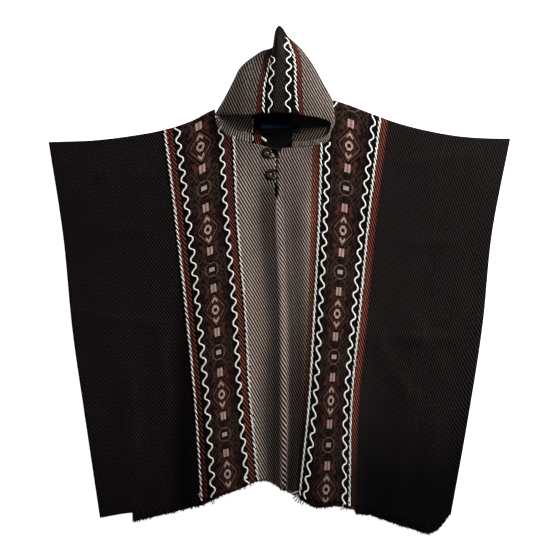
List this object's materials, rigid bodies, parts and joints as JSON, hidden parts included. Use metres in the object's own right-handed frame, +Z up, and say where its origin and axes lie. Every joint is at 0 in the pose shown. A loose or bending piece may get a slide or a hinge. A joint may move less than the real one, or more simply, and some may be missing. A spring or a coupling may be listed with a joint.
{
  "type": "hooded andean poncho laid flat",
  "caption": "Hooded woollen poncho laid flat on its back, with woven bands, a short slit with buttons and loops at the neck, and a fringed hem.",
  "frame": {"origin": "middle of the garment's outline, on the surface it lies on", "axes": "+Z up, +Y from the hem to the hood's tip, +X to the right as seen from above with the hood at the top"},
  "size_m": [1.152, 1.2689, 0.0537],
  "materials": {
    "striped_wool": "thick twill-woven wool, near-black side panels, patterned brown bands and a beige middle",
    "hood_wool": "thick twill-woven wool, beige and dark brown with rust stripes",
    "navy_ribbon": "plain satin ribbon",
    "coconut_shell": "polished coconut shell",
    "black_cord": "matt round cord",
    "fringe_yarn": "loose wool yarn"
  },
  "bodies": {
    "root": {"back_panel": "striped_wool", "front_panel": "striped_wool", "hood": "hood_wool", "hood_edge_left": "hood_wool", "hood_edge_right": "hood_wool", "neck_label": "navy_ribbon", "button_upper": "coconut_shell", "button_lower": "coconut_shell", "loop_upper": "black_cord", "loop_lower": "black_cord", "fringe_back": "fringe_yarn", "fringe_front": "fringe_yarn"}
  },
  "joints": []
}
